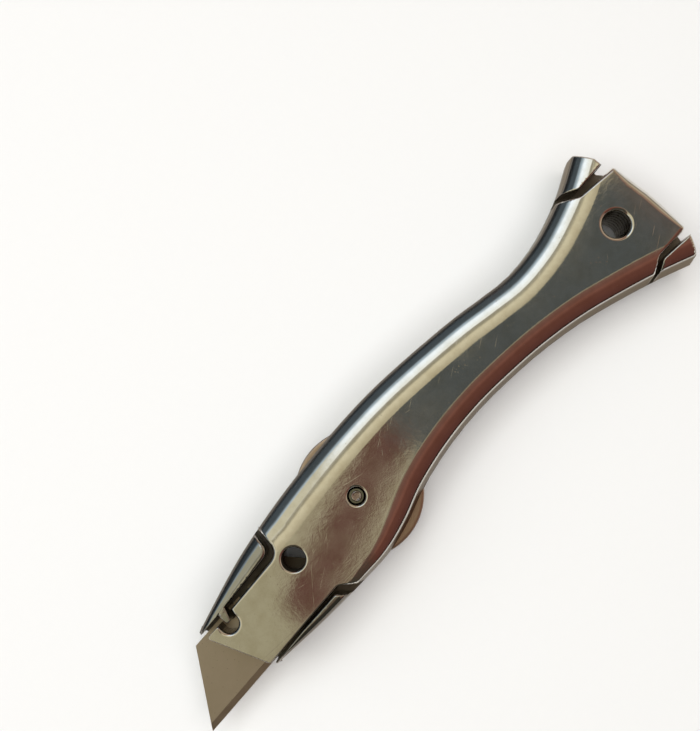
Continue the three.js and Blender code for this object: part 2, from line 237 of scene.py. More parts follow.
def nearest(starts, ends, points, chunk=2000):
    """For each point the nearest segment's number, the share along it, and the distance."""
    along = ends - starts
    length2 = np.maximum((along**2).sum(1), 1e-12)
    index, share, distance = [], [], []
    for first in range(0, len(points), chunk):
        p = points[first:first + chunk, None]
        t = np.clip(((p - starts) * along).sum(2) / length2, 0, 1)
        d = np.linalg.norm(p - (starts + t[..., None] * along), axis=2)
        k = d.argmin(1)
        rows = np.arange(len(k))
        index.append(k)
        share.append(t[rows, k])
        distance.append(d[rows, k])
    return np.concatenate(index), np.concatenate(share), np.concatenate(distance)


def bend(start, corner, end, t):
    """A point on the curve that rounds a corner off."""
    return (1 - t)**2 * start + 2 * t * (1 - t) * corner + t**2 * end


def outline(corners, step=0.8):
    """A closed outline's points, each with the rounding of its edge: x, y, rounding."""
    corners = np.array(corners, float)
    path = []
    for i, (x, y, radius, rounding) in enumerate(corners):
        here = np.array([x, y])
        before = unit(corners[i - 1, :2] - here)
        after = unit(corners[(i + 1) % len(corners), :2] - here)
        reach = radius / math.tan(math.acos(np.clip(before @ after, -1, 1)) / 2)
        start, end = here + before * reach, here + after * reach
        shares = np.linspace(0, 1, 9) if radius > 0 else [0]
        for t in shares:
            path.append([*bend(start, here, end, t), rounding])
    path = np.array(path)
    points = []
    for a, b in zip(path, np.roll(path, -1, 0)):
        count = max(1, math.ceil(np.linalg.norm((b - a)[:2]) / step))
        points.extend(a + (b - a) * i / count for i in range(count))
    return np.array(points)


def circle(x, y, radius, rounding, count=64):
    """A hole's outline, in the same form."""
    turn = np.linspace(0, 2 * math.pi, count, endpoint=False)
    return np.stack([
        x + radius * np.cos(turn), y + radius * np.sin(turn), np.full(count, rounding),
    ], 1)


def notch_outline():
    """The round notch in the cover's edge, open towards the back."""
    x, y, radius, rounding = NOTCH
    turn = np.linspace(-math.pi, 0, 25)
    arc = np.stack([x + radius * np.cos(turn), y + radius * np.sin(turn)], 1)
    mouth = [[x + radius, y + NOTCH_MOUTH], [x - radius, y + NOTCH_MOUTH]]
    points = np.concatenate([arc, mouth])
    return np.column_stack([points, np.full(len(points), rounding)])


def inside(loop, points):
    """Which points a closed outline holds, by counting the edges to the right of each."""
    a, b = loop[:, :2], np.roll(loop[:, :2], -1, 0)
    x, y = points[:, 0, None], points[:, 1, None]
    crossing = (a[:, 1] > y) != (b[:, 1] > y)
    climb = np.where(b[:, 1] == a[:, 1], 1, b[:, 1] - a[:, 1])
    meets = a[:, 0] + (y - a[:, 1]) * (b[:, 0] - a[:, 0]) / climb
    return (crossing & (x < meets)).sum(1) % 2 == 1


back = Side(BACK_SIDE, -1, FLANKS["back"])
edge = Side(EDGE_SIDE, 1, FLANKS["edge"])
BODY_LOOP = np.concatenate([edge.line, back.line[::-1]])


# ---------------- heights
def rise(depth, strip, run, last):
    """Height above the parting plane at a depth inside a long side, and its slope."""
    arc = math.sqrt(ROUND**2 - (ROUND - ROUND_RUN)**2)
    flank_rise = run / FALL * (1 - math.exp(-FALL))
    strip_rise = PARTING - arc - flank_rise - LAST_SLOPE * last / 2
    d = np.maximum(depth, 0)
    u = np.clip(d - strip, 1e-3, ROUND_RUN)
    t = np.clip((d - strip - ROUND_RUN) / run, 0, 1)
    e = np.clip(d - strip - ROUND_RUN - run, 0, last)
    arc_here = np.sqrt(ROUND**2 - (ROUND - u)**2)
    height = np.where(
        d < strip,
        strip_rise * d / strip,
        strip_rise + arc_here + run / FALL * (1 - np.exp(-FALL * t))
        + LAST_SLOPE * (e - e**2 / (2 * last)),
    )
    slope = np.select(
        [d < strip, d < strip + ROUND_RUN, d < strip + ROUND_RUN + run],
        [strip_rise / strip, (ROUND - u) / arc_here, np.exp(-FALL * t)],
        LAST_SLOPE * (1 - e / last),
    )
    return height, slope


def body_height(points):
    """Height of the body's outside over each point, its gradient, and the depth."""
    best = None
    for side in (back, edge):
        depth, inwards = side.depth(points)
        height, slope = rise(depth, *side.widths(points[:, 0]))
        gradient = inwards * slope[:, None]
        if best is None:
            best = [height, gradient, depth]
            continue
        lower = height < best[0]
        best[0] = np.where(lower, height, best[0])
        best[1] = np.where(lower[:, None], gradient, best[1])
        best[2] = np.minimum(depth, best[2])
    return PARTING + best[0], best[1], best[2]


# ---------------- skins
class Region:
    """A part of the plan, bounded by the body's sides and by cut edges, which are rounded."""

    def __init__(self, loops, covers):
        self.loops = loops
        self.covers = lambda points: covers(points) & inside(BODY_LOOP, points)
        starts, ends, inwards = [], [], []
        for loop in loops:
            a, b = loop, np.roll(loop, -1, 0)
            middle = (a[:, :2] + b[:, :2]) / 2
            along = unit(b[:, :2] - a[:, :2])
            left = np.stack([-along[:, 1], along[:, 0]], 1)
            on_left = self.covers(middle + left * PROBE)
            on_right = self.covers(middle - left * PROBE)
            used = on_left != on_right
            starts.append(a[used])
            ends.append(b[used])
            inwards.append(np.where(on_left[used, None], left[used], -left[used]))
        self.starts, self.ends = np.concatenate(starts), np.concatenate(ends)
        self.inwards = np.concatenate(inwards)

    def rim(self, points):
        """Distance to the nearest cut edge, the direction away from it, and its rounding."""
        index, share, distance = nearest(self.starts[:, :2], self.ends[:, :2], points)
        foot = mix(self.starts[index], self.ends[index], share)
        away = np.where(distance[:, None] > 1e-3, unit(points - foot[:, :2]), self.inwards[index])
        return distance, away, foot[:, 2]

    def surface(self, points, thinnest=0.02):
        """Height, normal, rim distance and depth of the rounded top over each point."""
        height, gradient, depth = body_height(points)
        distance, away, rounding = self.rim(points)
        left = np.clip(rounding - distance, 0, None)
        root = np.sqrt(np.maximum(rounding**2 - left**2, 0))
        gradient = gradient + away * (left / np.maximum(root, thinnest))[:, None]
        normal = unit(np.column_stack([-gradient, np.ones(len(points))]))
        return height - (rounding - root), normal, distance, depth


def side_lines():
    """Offsets of both long sides, close together where their profile bends."""
    lines = []
    for side in (back, edge):
        strip, run, last = side.widths(side.line[:, 0])
        crease = strip + ROUND_RUN + run
        steps = [strip * 0]
        steps += [strip + past for past in (-0.02, 0.02, 0.12, 0.28, ROUND_RUN)]
        steps += [strip + ROUND_RUN + run * i / 7 for i in range(1, 7)]
        steps += [crease - 0.04, crease + 0.04, crease + last / 3, crease + last * 2 / 3]
        steps += [crease + last]
        lines += [side.offset(distance) for distance in steps]
    return lines


def plan_mesh(region, pitch=2.5, merging=1e-4, sliver=1e-7):
    """Points and triangles that cover a region of the plan."""
    points, links = [], []

    def add(line, closed):
        first = len(points)
        points.extend(line[:, :2].tolist())
        last = first + len(line) - 1
        links.extend((i, i + 1) for i in range(first, last))
        if closed:
            links.append((last, first))

    for loop in region.loops:
        add(loop, True)
    for line in side_lines():
        add(line, False)
    for share in (0.08, 0.25, 0.5, 0.8, 1.1):
        reach = region.starts[:, 2, None] * share
        points.extend((region.starts[:, :2] + region.inwards * reach).tolist())
    low = region.starts[:, :2].min(0)
    high = region.starts[:, :2].max(0)
    grid = np.stack(np.meshgrid(*[np.arange(a, b, pitch) for a, b in zip(low, high)]), -1)
    points.extend(grid.reshape(-1, 2).tolist())
    verts, _, faces, *_ = delaunay_2d_cdt([Vector(p) for p in points], links, [], 0, merging)
    verts = np.array([v[:] for v in verts])
    faces = np.array(faces)
    centre = verts[faces].mean(1)
    a, b, c = verts[faces[:, 0]], verts[faces[:, 1]], verts[faces[:, 2]]
    area = (b - a)[:, 0] * (c - a)[:, 1] - (b - a)[:, 1] * (c - a)[:, 0]
    faces = faces[region.covers(centre) & (area > sliver)]
    used, faces = np.unique(faces, return_inverse=True)
    return verts[used], faces.reshape(-1, 3)


def ring_faces(rings, sides):
    """Faces that join each ring of points to the next."""
    faces = []
    for row in range(rings - 1):
        for i in range(sides):
            a, b = row * sides + i, row * sides + (i + 1) % sides
            faces.append([a, b, b + sides, a + sides])
    return faces


class Shell:
    """Collects the faces of one piece: points in millimetres from the plan's origin."""

    def __init__(self):
        self.points, self.faces, self.normals, self.slots = [], [], [], []
        self.wear, self.depth = [], []

    def add(self, points, faces, normals, slot=0, wear=None, depth=None):
        first = len(self.points)
        self.points.extend(points.tolist())
        unmeasured = np.full(len(points), UNMEASURED)
        self.wear.extend(unmeasured if wear is None else wear)
        self.depth.extend(unmeasured if depth is None else depth)
        for face in faces:
            self.faces.append([first + int(i) for i in face])
            self.normals.extend([0, 0, 0] if normals is None else normals[i] for i in face)
            self.slots.append(slot)

    def add_skin(self, region, top=True, floor=None, ceiling=None):
        """The rounded top over a region, or the same shape turned over for the underside."""
        plan, faces = plan_mesh(region)
        height, normal, wear, depth = region.surface(plan)
        if floor is not None:
            height = np.maximum(height, floor)
        if not top:
            height = HEIGHT - height
            normal = normal * [1, 1, -1]
            faces = faces[:, ::-1]
        if ceiling is not None:
            height = np.minimum(height, ceiling)
        self.add(np.column_stack([plan, height]), faces, normal, wear=wear, depth=depth)

    def add_walls(self, region, end, top=True, slot=0, skip=()):
        """Upright walls from the region's cut edges to the height that end gives."""
        keep = np.ones(len(region.starts), bool)
        for x, y, radius, _ in skip:
            away = np.hypot(region.starts[:, 0] - x, region.starts[:, 1] - y)
            keep &= abs(away - radius) > ON_CIRCLE
        starts, ends, outwards = region.starts[keep], region.ends[keep], -region.inwards[keep]
        sums = {}
        for place, normal in zip([*starts, *ends], [*outwards, *outwards]):
            key = tuple(np.round(place[:2], 3))
            sums[key] = sums.get(key, 0) + normal
        corners = np.stack([starts[:, :2], ends[:, :2]], 1).reshape(-1, 2)
        height = region.surface(corners)[0]
        if not top:
            height = HEIGHT - height
        facing = np.repeat(outwards, 2, 0)
        shared = unit(np.array([sums[tuple(np.round(c, 3))] for c in corners]))
        smooth = (shared * facing).sum(1) > SMOOTH
        normals = np.where(smooth[:, None], shared, facing)
        normals = np.column_stack([normals, np.zeros(len(normals))])
        finish = end(corners)
        points = np.concatenate([
            np.column_stack([corners, height]), np.column_stack([corners, finish]),
        ])
        count = len(corners)
        faces = []
        for i in range(0, count, 2):
            along = corners[i + 1] - corners[i]
            turned = along[0] * facing[i][1] - along[1] * facing[i][0] > 0
            quad = [i, i + 1, count + i + 1, count + i]
            faces.append(quad if turned == (height[i] > finish[i]) else quad[::-1])
        self.add(points, faces, np.concatenate([normals, normals]), slot)

    def add_turned(self, x, y, profile, slot=0, sides=96):
        """A surface turned about an upright axis, from a profile of radius and height."""
        profile = np.array(profile, float)
        turn = np.linspace(0, 2 * math.pi, sides, endpoint=False)
        ring = np.stack([np.cos(turn), np.sin(turn)], 1)
        along = np.gradient(profile, axis=0)
        facing = unit(np.stack([along[:, 1], -along[:, 0]], 1))
        points, normals = [], []
        for (radius, z), (out, up) in zip(profile, facing):
            points.append(np.column_stack([ring * radius + [x, y], np.full(sides, z)]))
            normals.append(np.column_stack([ring * out, np.full(sides, up)]))
        faces = ring_faces(len(profile), sides)
        self.add(np.concatenate(points), faces, np.concatenate(normals), slot)

    def add_node_faces(self, node, keep, slot):
        """The faces of a CAD node that a test keeps, by their centres and normals."""
        mesh = frame["nodes"][node].data
        points = np.array([v.co for v in mesh.vertices]) / MM - [ORIGIN.x, ORIGIN.y, 0]
        faces = np.array([p.vertices[:] for p in mesh.polygons])
        a, b, c = (points[faces[:, i]] for i in range(3))
        normal = unit(np.cross(b - a, c - a))
        chosen = faces[keep((a + b + c) / 3, normal)]
        merged, index = np.unique(np.round(points, 4), axis=0, return_inverse=True)
        self.add(merged, index.reshape(-1)[chosen], None, slot)

    def drop_scraps(self, fewest=10):
        """Take out loose groups of joined faces that are too few to be a surface."""
        places = np.unique(np.round(self.points, 3), axis=0, return_inverse=True)[1].reshape(-1)
        parent = list(range(places.max() + 1))

        def root(place):
            while parent[place] != place:
                parent[place] = parent[parent[place]]
                place = parent[place]
            return place

        for face in self.faces:
            for corner in face[1:]:
                parent[root(places[corner])] = root(places[face[0]])
        groups = [root(places[face[0]]) for face in self.faces]
        sizes = np.bincount(groups)
        faces, slots, normals, start = [], [], [], 0
        for face, slot, group in zip(self.faces, self.slots, groups):
            end = start + len(face)
            if sizes[group] >= fewest:
                faces.append(face)
                slots.append(slot)
                normals.extend(self.normals[start:end])
            start = end
        self.faces, self.slots, self.normals = faces, slots, normals

    def make(self, name, materials, body, node):
        """The mesh of the collected faces, kept inside the box of the node it replaces."""
        mesh = bpy.data.meshes.new(name)
        low, high = (np.array(corner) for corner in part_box(node))
        placed = (np.array(self.points) + [ORIGIN.x, ORIGIN.y, 0]) * MM
        mesh.from_pydata(np.clip(placed, low, high).tolist(), [], self.faces)
        for material in materials:
            mesh.materials.append(material)
        mesh.polygons.foreach_set("material_index", self.slots)
        mesh.polygons.foreach_set("use_smooth", [True] * len(self.faces))
        for key, values in (("wear", self.wear), ("depth", self.depth)):
            mesh.attributes.new(key, "FLOAT", "POINT").data.foreach_set("value", values)
        mesh.update()
        mesh.set_sharp_from_angle(angle=SHARP)
        mesh.normals_split_custom_set([tuple(n) for n in self.normals])
        piece = bpy.data.objects.new(name, mesh)
        bpy.context.scene.collection.objects.link(piece)
        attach(piece, body)
        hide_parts(node)
        return piece


# ---------------- castings
CAST, INSIDE, BORE, RIM = range(4)          # material numbers on a casting


def pierced(loops):
    """The region inside the first outline and outside all the others."""
    def covers(points):
        openings = [inside(loop, points) for loop in loops[1:]]
        return inside(loops[0], points) & ~np.any(openings, axis=0)

    return Region(loops, covers)


def bore_profile(hole, top, bottom, ridges=0.0, pitch=2.2, step=0.125):
    """Down a hole from its rounded mouth, with shallow tool rings if ridges is above 0."""
    _, _, radius, rounding = hole
    profile = [(radius, top - rounding)]
    for z in np.arange(top - rounding - 0.1, bottom, -step):
        wave = max(0.0, math.sin(2 * math.pi * (top - z) / pitch))
        profile.append((radius - ridges * wave, z))
    profile.append((radius, bottom))
    return profile


def near_cut(region, centres):
    """Which faces lie at a region's cut edges, where walls are drawn again."""
    distance, _, _ = region.rim(centres[:, :2])
    return distance < REDRAWN


def near_side(centres):
    """Which faces lie at the body's long sides."""
    return body_height(centres[:, :2])[2] < REDRAWN


def cover_casting(materials):
    """The upper half: drawn outside and holes, with the CAD's own inside."""
    holes = (FRONT_HOLE, TAIL_HOLE, CUP_BORE)
    region = pierced([outline(COVER), notch_outline(), *[circle(*hole) for hole in holes]])
    shell = Shell()
    shell.add_skin(region, floor=COVER_BOTTOM)
    past_hole = FRONT_HOLE[0] + FRONT_HOLE[2] + 1
    blade_back = BLADE_BOX[1].y - ORIGIN.y + GAP

    def end(points):
        """The walls stop over the blade where they pass across it."""
        over = (points[:, 0] < past_hole) & (points[:, 1] < blade_back)
        return np.where(over, BLADE_ROOF, COVER_BOTTOM)

    shell.add_walls(region, end, slot=BORE, skip=holes)
    # The front hole and the cup are lined with the dark raw casting, which paints in their shade.
    shell.add_turned(*FRONT_HOLE[:2], bore_profile(FRONT_HOLE, HEIGHT, BLADE_ROOF), INSIDE)
    tail_profile = bore_profile(TAIL_HOLE, HEIGHT, COVER_BOTTOM, TOOL_RINGS)
    shell.add_turned(*TAIL_HOLE[:2], tail_profile, BORE)
    shell.add_turned(*CUP_BORE[:2], bore_profile(CUP_BORE, HEIGHT, CUP_FLOOR), INSIDE)

    def keep(centre, normal):
        cup = np.hypot(centre[:, 0] - PIVOT[0], centre[:, 1] - PIVOT[1]) < CUP_BORE[2]
        outside = (normal[:, 2] > UPRIGHT) & ~cup
        upright = abs(normal[:, 2]) <= UPRIGHT
        return ~outside & ~(upright & (near_cut(region, centre) | near_side(centre)))

    shell.add_node_faces("upper_shell", keep, INSIDE)
    return shell.make("cover_casting", materials, "cover", "upper_shell")


def base_underside(shell):
    """The lower half's outside, its end faces and the holes in it."""
    holes = (FRONT_HOLE, TAIL_HOLE, PIN_RECESS)
    region = pierced([outline(BASE), *[circle(*hole) for hole in holes]])
    shell.add_skin(region, top=False, ceiling=PARTING)
    blade_tip, nose_end = BLADE_BOX[0].x - ORIGIN.x, NOSE_BOTTOM[0] + 0.5
    blade_edge, blade_back = NOSE_BOTTOM[1] - 0.8, 2.2

    def end(points):
        """The walls stop under the blade where it passes over them."""
        x, y = points[:, 0], points[:, 1]
        over = (x > blade_tip) & (x < nose_end) & (y > blade_edge) & (y < blade_back)
        return np.where(over, BLADE_BED, BASE_TOP)

    shell.add_walls(region, end, top=False, slot=CAST, skip=holes)
    for hole, roof, ridges in (
        (FRONT_HOLE, BLADE_BED, 0.0), (TAIL_HOLE, BASE_TOP, TOOL_RINGS),
        (PIN_RECESS, PIN_RECESS_ROOF, 0.0),
    ):
        profile = [(radius, HEIGHT - z) for radius, z in
                   bore_profile(hole, HEIGHT, HEIGHT - roof, ridges)]
        shell.add_turned(*hole[:2], profile[::-1], BORE)
    return region


def guard_rim(shell):
    """The round finger guard where it stands out of the sides."""
    x, y, radius = GUARD
    corner, chamfer, bow, steps = 2.6, 0.4, 0.12, 12
    bottom, top = 2.2, BASE_TOP + 0.02
    root = radius - 6
    profile = [(root, top), (radius - 1, top), (radius - chamfer, top)]
    profile += [(radius - chamfer / 3, top - bow), (radius, top - chamfer)]
    for i in range(steps + 1):
        turn = i / steps * math.pi / 2
        profile.append((
            radius - corner * (1 - math.cos(turn)), bottom + corner * (1 - math.sin(turn)),
        ))
    profile.append((root + 1, bottom))
    shell.add_turned(x, y, profile, RIM, sides=160)


def base_casting(materials):
    """The lower half: drawn underside, corner walls and guard, with the CAD's own inside."""
    shell = Shell()
    underside = base_underside(shell)
    walls = [outline(corners) for corners in CORNER_WALLS]
    base = outline(BASE)
    region = Region(
        [*walls, base],
        lambda p: np.any([inside(w, p) for w in walls], axis=0) & inside(base, p),
    )
    shell.add_skin(region)
    shell.add_walls(region, lambda p: np.full(len(p), BASE_TOP), slot=BORE)
    guard_rim(shell)
    wall_tops = BASE_TOP + 3

    def keep(centre, normal):
        away = np.hypot(centre[:, 0] - PIVOT[0], centre[:, 1] - PIVOT[1])
        recess = (away < PIN_RECESS[2]) & (centre[:, 2] < PIN_RECESS_ROOF + 0.1)
        under = (normal[:, 2] < -UPRIGHT) & ~recess
        over = (normal[:, 2] > UPRIGHT) & (centre[:, 2] > wall_tops)
        upright = abs(normal[:, 2]) <= UPRIGHT
        cut = near_cut(region, centre) | near_cut(underside, centre) | near_side(centre)
        return ~under & ~over & ~(upright & cut)

    shell.add_node_faces("lower_shell", keep, INSIDE)
    shell.drop_scraps()
    return shell.make("base_casting", materials, "base", "lower_shell")


# ---------------- pivot
def turned_piece(name, profile, material, node):
    """A piece of the base that is turned about the pivot axis."""
    shell = Shell()
    shell.add_turned(*PIVOT, profile, sides=72)
    return shell.make(name, [material], "base", node)


def rounded(profile, radius=0.12, steps=4):
    """A turned profile with its corners rounded off."""
    points = [profile[0]]
    for before, here, after in zip(profile, profile[1:], profile[2:]):
        b, h, a = (np.array(p, float) for p in (before, here, after))
        start = h + unit(b - h) * min(radius, np.linalg.norm(b - h) / 2)
        end = h + unit(a - h) * min(radius, np.linalg.norm(a - h) / 2)
        for i in range(steps + 1):
            points.append(tuple(bend(start, h, end, i / steps)))
    return [*points, profile[-1]]


def rivet(material):
    """The pivot pin: a head in the base, a plain shaft and a hollow spread end."""
    bottom, top = PIN_BOX[0].z, PIN_BOX[1].z
    head = (PIN_BOX[1].x - PIN_BOX[0].x) / 2
    head_top, shaft, flare, bore = bottom + 0.9, 1.15, 1.5, 0.95
    profile = [
        (0.0, bottom), (head - 0.2, bottom), (head, bottom + 0.3), (head, head_top),
        (shaft, head_top), (shaft, top - 1.15), (flare, top - 0.9), (flare, top - 0.3),
        (1.28, top), (1.12, top), (bore, top - 0.25), (bore, top - 0.5), (0.0, top - 0.5),
    ]
    return turned_piece("rivet", rounded(profile), material, "pivot_pin")


def washer(material):
    """The flat ring under the pin's spread end."""
    low, high = (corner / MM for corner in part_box("spring_retainer"))
    outer, hole = (high.x - low.x) / 2, 1.3
    profile = [
        (hole, low.z), (outer, low.z), (outer, high.z), (hole, high.z), (hole, low.z),
    ]
    profile = rounded(profile, 0.08)
    return turned_piece("spring_washer", profile, material, "spring_retainer")


def spring(material):
    """A wound wire, sized to the box of the CAD spring."""
    low, high = (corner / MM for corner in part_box("pivot_spring"))
    wire, turns, steps, sides = 0.5, 5.5, 260, 12
    radius = (high.x - low.x) / 2 - wire / 2
    t = np.linspace(0, 1, steps)
    angle = t * turns * 2 * math.pi
    base, top = low.z + wire / 2, high.z - wire / 2
    line = np.stack([
        PIVOT[0] + radius * np.cos(angle), PIVOT[1] + radius * np.sin(angle),
        base + (top - base) * t,
    ], 1)
    along = unit(np.gradient(line, axis=0))
    outwards = np.stack([np.cos(angle), np.sin(angle), np.zeros(steps)], 1)
    upwards = unit(np.cross(along, outwards))
    turn = np.linspace(0, 2 * math.pi, sides, endpoint=False)
    facing = (
        outwards[:, None] * np.cos(turn)[:, None] + upwards[:, None] * np.sin(turn)[:, None]
    )
    points = (line[:, None] + facing * wire / 2).reshape(-1, 3)
    faces = [face[::-1] for face in ring_faces(steps, sides)]
    last = (steps - 1) * sides
    faces.append(list(range(sides)))
    faces.append(list(range(last + sides - 1, last - 1, -1)))
    shell = Shell()
    shell.add(points, faces, facing.reshape(-1, 3))
    piece = shell.make("spring_coil", [material], "base", "pivot_spring")
    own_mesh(piece)
    return piece


# ---------------- materials
class Graph:
    """Wires up a node tree. Colours are given as red, green and blue."""

    def __init__(self, tree):
        self.tree = tree

    def node(self, kind, **settings):
        made = self.tree.nodes.new(kind)
        for key, value in settings.items():
            setattr(made, key, value)
        return made

    def set(self, socket, value):
        """Link another node's output to a socket, or write a value to it."""
        if isinstance(value, bpy.types.NodeSocket):
            self.tree.links.new(value, socket)
        elif socket.type == "RGBA":
            socket.default_value = (*value, 1)
        else:
            socket.default_value = value

    def axis(self, vector, name):
        """One coordinate of a vector."""
        split = self.node("ShaderNodeSeparateXYZ")
        self.set(split.inputs[0], vector)
        return split.outputs[name]

    def math(self, operation, a, b=0.0):
        made = self.node("ShaderNodeMath", operation=operation)
        self.set(made.inputs[0], a)
        self.set(made.inputs[1], b)
        return made.outputs["Value"]

    def times(self, a, b):
        return self.math("MULTIPLY", a, b)

    def ramp(self, value, low, high, first=0.0, last=1.0, curve="LINEAR"):
        """Runs from first to last as a value goes from low to high."""
        made = self.node("ShaderNodeMapRange", clamp=True, interpolation_type=curve)
        for key, v in (("Value", value), ("From Min", low), ("From Max", high),
                       ("To Min", first), ("To Max", last)):
            self.set(made.inputs[key], v)
        return made.outputs["Result"]

    def fade(self, value, low, high, curve="LINEAR"):
        """Falls from 1 to 0 as a value goes from low to high."""
        return self.ramp(value, low, high, 1.0, 0.0, curve)

    def blend(self, share, a, b):
        """Colour a where the share is 0, and colour b where it is 1."""
        made = self.node("ShaderNodeMix", data_type="RGBA")
        self.set(made.inputs["Factor"], share)
        for key, v in (("A", a), ("B", b)):
            socket = next(s for s in made.inputs if s.name == key and s.type == "RGBA")
            self.set(socket, v)
        return next(s for s in made.outputs if s.type == "RGBA")


class Nodes(Graph):
    """A procedural material, worked out from places in millimetres."""

    def __init__(self, name):
        self.material = bpy.data.materials.new(name)
        self.material.use_nodes = True
        super().__init__(self.material.node_tree)
        self.shader = self.tree.nodes["Principled BSDF"]
        self.place = self.node("ShaderNodeTexCoord").outputs["Object"]
        self.millimetres = self.mapping([1 / MM] * 3)

    def mapping(self, scale, turn=0.0):
        """Object coordinates turned about Z by an angle, then scaled along each axis."""
        made = self.node("ShaderNodeMapping", vector_type="TEXTURE")
        self.set(made.inputs["Vector"], self.place)
        self.set(made.inputs["Scale"], [1 / s for s in scale])
        self.set(made.inputs["Rotation"], (0, 0, turn))
        return made.outputs["Vector"]

    def noise(self, scale, detail=3.0, roughness=0.5, vector=None):
        """Soft noise from 0 to 1, with so many features to a millimetre."""
        made = self.node("ShaderNodeTexNoise")
        self.set(made.inputs["Vector"], vector or self.millimetres)
        for key, value in (("Scale", scale), ("Detail", detail), ("Roughness", roughness)):
            self.set(made.inputs[key], value)
        return made.outputs["Fac"]

    def dots(self, scale):
        """Distance from the nearest of many scattered points."""
        made = self.node("ShaderNodeTexVoronoi")
        self.set(made.inputs["Vector"], self.millimetres)
        self.set(made.inputs["Scale"], scale)
        return made.outputs["Distance"]

    def bump(self, height, depth, under=None):
        """Bump of a 0 to 1 height, that many millimetres deep."""
        made = self.node("ShaderNodeBump")
        self.set(made.inputs["Height"], height)
        self.set(made.inputs["Strength"], 1.0)
        self.set(made.inputs["Distance"], depth * MM)
        if under is not None:
            self.set(made.inputs["Normal"], under)
        return made.outputs["Normal"]

    def value(self, attribute):
        """A number stored at the points of the mesh."""
        return self.node("ShaderNodeAttribute", attribute_name=attribute).outputs["Fac"]

    def finish(self, colour, roughness, normal, metallic=1.0):
        for key, value in (("Base Color", colour), ("Roughness", roughness),
                           ("Normal", normal), ("Metallic", metallic)):
            self.set(self.shader.inputs[key], value)
        return self.material


def buffing_lines(n):
    """Faint lines that follow the rounded flanks and die out on the flat."""
    depth = n.value("depth")
    level = n.node("ShaderNodeCombineXYZ")
    n.set(level.inputs["X"], depth)
    return n.times(n.noise(2.6, 2, vector=level.outputs["Vector"]), n.fade(depth, 4.0, 6.5))


def casting_pits(n):
    """Small round pits in some patches of the skin: 1 in a pit, 0 beside it."""
    return n.times(n.fade(n.dots(1.1), 0.08, 0.16), n.ramp(n.noise(0.16, 3), 0.60, 0.70))


def fine_scratches(n):
    """Scratches that run three ways: 1 in a scratch, 0 beside it."""
    scratches = 0.0
    for turn, threshold in ((0.55, 0.735), (0.85, 0.75), (-0.25, 0.755)):
        streaks = n.noise(1.0, 2, vector=n.mapping((80, 4200, 80), turn))
        scratches = n.math("MAXIMUM", scratches, n.ramp(streaks, threshold, threshold + 0.06))
    return scratches


def plated_casting(name, painted_nose_reflection):
    """Bright nickel plate over a cast skin: soft waves, pits, fine scratches, worn rims, a
    painted shade on the drafted strip and a painted dark reflection at the nose.

    The second number is how far the plate at the nose is painted a darker grey, a painted dark
    reflection.
    """
    n = Nodes(name)
    clouds = n.noise(0.07, 3)
    patches = n.noise(0.22, 5, 0.6)
    pits, scratches = casting_pits(n), fine_scratches(n)
    worn = n.times(n.fade(n.value("wear"), 0.0, 0.7), n.ramp(patches, 0.35, 0.6))
    # Drafted strip at the parting line: rougher for being not polished, and painted darker as
    # painted shade, mirroring the shadowed floor beside the knife.
    unpolished_shaded_strip = n.fade(n.value("depth"), 1.2, 1.75)
    nose = n.fade(n.axis(n.millimetres, "X"), ORIGIN.x - 20, ORIGIN.x - 12)

    colour = n.blend(n.ramp(patches, 0.4, 0.75), (0.80, 0.785, 0.745), (0.70, 0.67, 0.60))
    for share, tint in (
        # painted dark reflection: a darker grey over the nose
        (n.times(nose, painted_nose_reflection), (0.34, 0.345, 0.335)),
        # painted shade: the dark colour of the drafted strip
        (unpolished_shaded_strip, (0.17, 0.155, 0.14)),
        (n.times(pits, 0.75), (0.16, 0.12, 0.09)),
        (n.times(worn, 0.5), (0.90, 0.88, 0.84)),
    ):
        colour = n.blend(share, colour, tint)

    roughness = n.ramp(clouds, 0.3, 0.7, 0.05, 0.10)
    for share, rougher in ((unpolished_shaded_strip, 0.14), (scratches, 0.18), (worn, 0.10)):
        roughness = n.math("ADD", roughness, n.times(share, rougher))

    sag, waves, grit = n.noise(0.04, 1), n.noise(0.55, 2), n.noise(2.2, 3, 0.6)
    normal = None
    for height, depth in (
        (sag, 0.02), (waves, 0.005), (buffing_lines(n), 0.009),
        (n.times(grit, n.ramp(clouds, 0.4, 0.65, 0.35, 1.0)), 0.003),
        (n.times(pits, -1.0), 0.012), (n.times(scratches, -1.0), 0.003),
    ):
        normal = n.bump(height, depth, normal)
    n.set(n.shader.inputs["Specular Tint"], (0.60, 0.53, 0.45))
    return n.finish(colour, roughness, normal)


def shaded_raw_casting():
    """The inside of the castings, not polished: an as-cast grey made dark as painted shade of the
    hollows, bores and slots it lines.
    """
    n = Nodes("shaded_raw_casting")
    patches = n.noise(0.3, 4)
    grain = n.noise(5.0, 4, 0.65)
    # dark as-cast grey, kept this dark as painted shade of the hollows and holes it lines
    colour = n.blend(patches, (0.22, 0.21, 0.19), (0.34, 0.325, 0.30))
    colour = n.blend(n.ramp(grain, 0.55, 0.8), colour, (0.12, 0.112, 0.10))
    roughness = n.ramp(grain, 0.3, 0.7, 0.42, 0.62)
    return n.finish(colour, roughness, n.bump(grain, 0.05))


